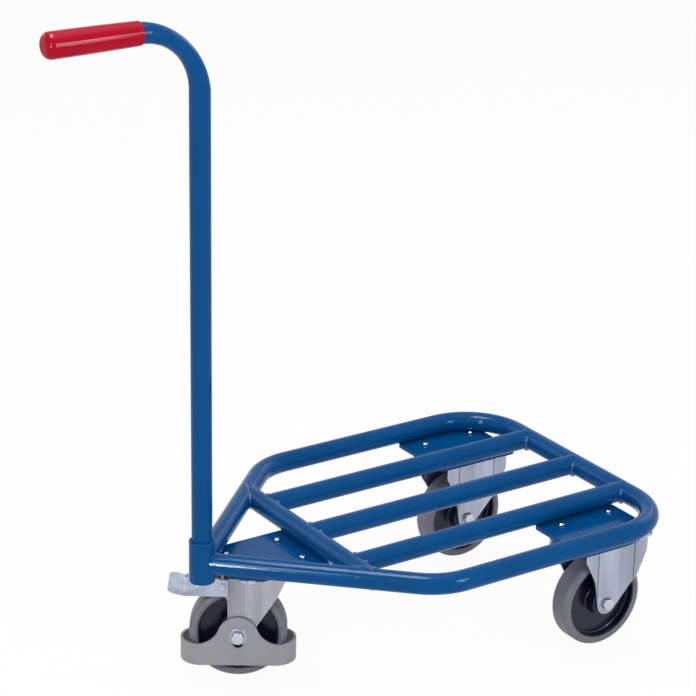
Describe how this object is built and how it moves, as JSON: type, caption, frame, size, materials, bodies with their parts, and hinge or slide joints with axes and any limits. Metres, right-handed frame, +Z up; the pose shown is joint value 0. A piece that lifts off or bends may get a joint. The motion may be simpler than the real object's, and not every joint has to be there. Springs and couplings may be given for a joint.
{
  "type": "platform cart",
  "caption": "Low tubular platform cart with a pointed slatted deck, upright plug-in handle, braked swivel front caster with foot guard and fixed rear casters.",
  "frame": {"origin": "middle of the outer box on the floor", "axes": "+X to the rear, away from the handle; +Y to the left side seen from behind the handle; +Z up"},
  "size_m": [0.8, 0.448, 0.8755],
  "materials": {
    "blue_powder_coat": "gloss powder coat",
    "zinc_plate": "bright zinc plate",
    "red_grip": "smooth moulded",
    "grey_tyre": "matte moulded",
    "black_core": "satin moulded",
    "grey_guard": "satin moulded",
    "bearing_steel": "ground",
    "shoe_rubber": "matte"
  },
  "bodies": {
    "frame": {"cross_tube": "blue_powder_coat", "front_caster_plate": "blue_powder_coat", "front_caster_screws": "zinc_plate", "handle_socket": "blue_powder_coat", "perimeter_tube": "blue_powder_coat", "rear_axle_bolt_left": "zinc_plate", "rear_axle_bolt_right": "zinc_plate", "rear_axle_nut_left": "zinc_plate", "rear_axle_nut_right": "zinc_plate", "rear_axle_sleeve_left": "zinc_plate", "rear_axle_sleeve_right": "zinc_plate", "rear_bracket_left": "zinc_plate", "rear_bracket_right": "zinc_plate", "rear_plate_left": "blue_powder_coat", "rear_plate_right": "blue_powder_coat", "rear_screws_left": "zinc_plate", "rear_screws_right": "zinc_plate", "slat_left": "blue_powder_coat", "slat_middle": "blue_powder_coat", "slat_right": "blue_powder_coat", "socket_key": "blue_powder_coat", "swivel_king_pin": "zinc_plate", "swivel_top_plate": "zinc_plate", "swivel_upper_cup": "zinc_plate"},
    "handle": {"handle_tube": "blue_powder_coat", "handle_grip": "red_grip"},
    "front_fork": {"swivel_fork": "zinc_plate", "swivel_balls": "bearing_steel", "swivel_lower_race": "zinc_plate", "swivel_thrust_washer": "bearing_steel", "front_axle_sleeve": "zinc_plate", "front_axle_bolt": "zinc_plate", "front_axle_nut": "zinc_plate", "front_axle_washers": "zinc_plate", "foot_guard": "grey_guard", "brake_pivot_pin": "zinc_plate"},
    "front_wheel": {"front_tyre": "grey_tyre", "front_wheel_core": "black_core", "front_wheel_bearings": "bearing_steel"},
    "brake_lever": {"brake_lever": "zinc_plate", "brake_shoe": "shoe_rubber"},
    "rear_wheel_right": {"rear_tyre_right": "grey_tyre", "rear_wheel_core_right": "black_core", "rear_wheel_bearings_right": "bearing_steel"},
    "rear_wheel_left": {"rear_tyre_left": "grey_tyre", "rear_wheel_core_left": "black_core", "rear_wheel_bearings_left": "bearing_steel"}
  },
  "joints": [
    {"name": "handle_lift", "type": "slide", "parent": "frame", "child": "handle", "axis": [0, 0, 1], "range_m": [0, 0.08]},
    {"name": "front_swivel", "type": "hinge", "parent": "frame", "child": "front_fork", "pos_m": [-0.10982, 0, 0.141], "axis": [0, 0, 1], "continuous": true},
    {"name": "front_wheel_roll", "type": "hinge", "parent": "front_fork", "child": "front_wheel", "pos_m": [-0.13666, 0.01743, 0.0625], "axis": [-0.5446, -0.8387, 0], "continuous": true},
    {"name": "brake_pedal", "type": "hinge", "parent": "front_fork", "child": "brake_lever", "pos_m": [-0.15284, 0.02794, 0.1325], "axis": [-0.5446, -0.8387, 0], "range_deg": [0, 9.5]},
    {"name": "rear_right_roll", "type": "hinge", "parent": "frame", "child": "rear_wheel_right", "pos_m": [0.3075, -0.1547, 0.0625], "axis": [0, 1, 0], "continuous": true},
    {"name": "rear_left_roll", "type": "hinge", "parent": "frame", "child": "rear_wheel_left", "pos_m": [0.3075, 0.1547, 0.0625], "axis": [0, 1, 0], "continuous": true}
  ]
}
